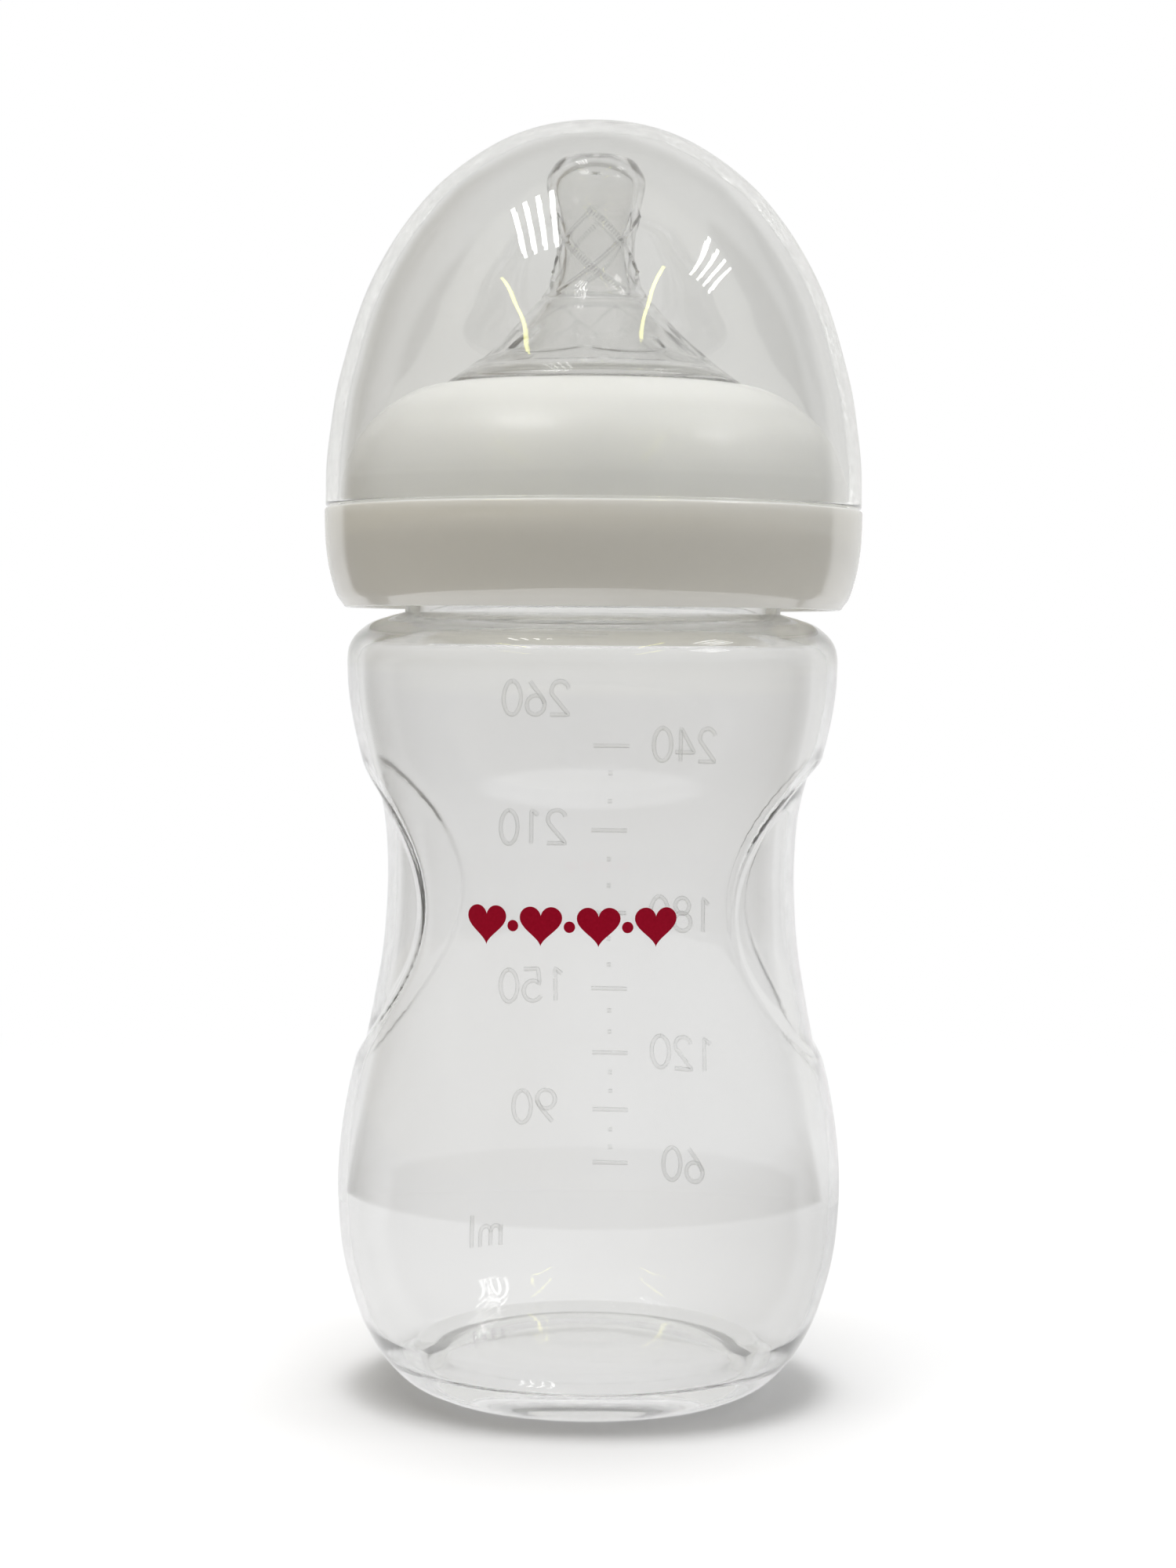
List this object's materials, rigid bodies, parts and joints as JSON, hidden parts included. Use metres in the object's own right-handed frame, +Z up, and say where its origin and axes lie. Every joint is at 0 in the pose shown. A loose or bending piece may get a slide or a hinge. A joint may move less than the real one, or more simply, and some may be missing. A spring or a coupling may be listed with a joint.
{
  "type": "baby bottle",
  "caption": "Wide-neck baby bottle with a waisted clear container, silicone teat, screw ring and clear dome cap.",
  "frame": {"origin": "centre of the standing ring under the base, on the bottle's axis", "axes": "+Z up along the bottle's axis; -Y is the front, +Y the side with the moulded scale; the finger grips are at +X and -X"},
  "size_m": [0.0742, 0.0742, 0.175],
  "materials": {
    "clear_plastic": "clear, glossy",
    "silicone": "translucent, satin",
    "milky_plastic": "milky, glossy",
    "cap_plastic": "clear, glossy"
  },
  "bodies": {
    "container": {"bottle": "clear_plastic"},
    "teat": {"teat": "silicone"},
    "ring": {"screw_ring": "milky_plastic"},
    "cap": {"dome_cap": "cap_plastic"}
  },
  "joints": [
    {"name": "teat_lift", "type": "slide", "parent": "container", "child": "teat", "axis": [0, 0, 1], "range_m": [0, 0.0181]},
    {"name": "ring_turn", "type": "hinge", "parent": "teat", "child": "ring", "pos_m": [0, 0, 0.12], "axis": [0, 0, 1], "range_deg": [0, 1080]},
    {"name": "cap_lift", "type": "slide", "parent": "ring", "child": "cap", "axis": [0, 0, 1], "range_m": [0, 0.07]}
  ],
  "couplings": [
    {"joint": "teat_lift", "follows": "ring_turn", "m_per_rad": 0.00095493}
  ]
}
